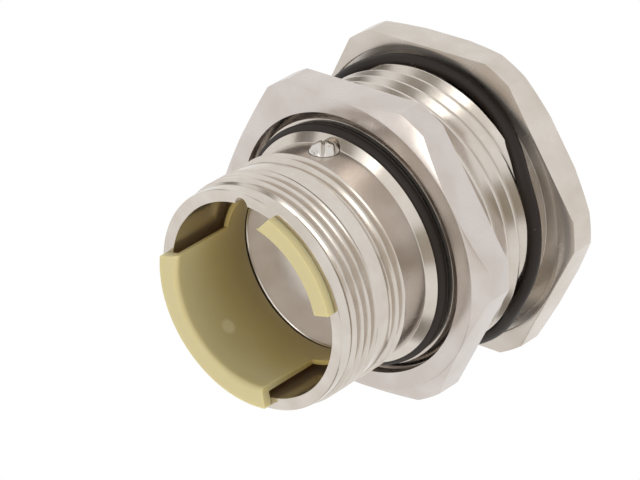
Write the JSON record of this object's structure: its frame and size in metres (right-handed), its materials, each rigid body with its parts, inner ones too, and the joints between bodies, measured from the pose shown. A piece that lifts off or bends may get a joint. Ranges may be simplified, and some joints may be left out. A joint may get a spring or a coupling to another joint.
{
  "type": "circular connector panel feed-through housing",
  "caption": "Round panel feed-through housing with a threaded mating end, insulating sleeve, rubber seals, hex flange and a thin hex nut on the panel thread.",
  "frame": {"origin": "centre of the rear hex flange's flat back, on the part's axis", "axes": "+Z along the axis towards the mating end, +X through a corner of the hex flange"},
  "size_m": [0.0346, 0.0314, 0.0313],
  "materials": {
    "shell_metal": "bright nickel plate over turned brass",
    "nut_metal": "satin nickel plate over brass",
    "pin_metal": "polished steel",
    "sleeve_plastic": "moulded olive-yellow engineering plastic",
    "seal_rubber": "matte black nitrile rubber"
  },
  "bodies": {
    "housing": {"housing_shell": "shell_metal", "index_pin": "pin_metal", "insulating_sleeve": "sleeve_plastic", "mating_o_ring": "seal_rubber", "flange_o_ring": "seal_rubber"},
    "nut": {"panel_nut": "nut_metal"}
  },
  "joints": [
    {"name": "nut_travel", "type": "slide", "parent": "housing", "child": "nut", "axis": [0, 0, 1], "range_m": [-0.00635, 0.00159]}
  ]
}
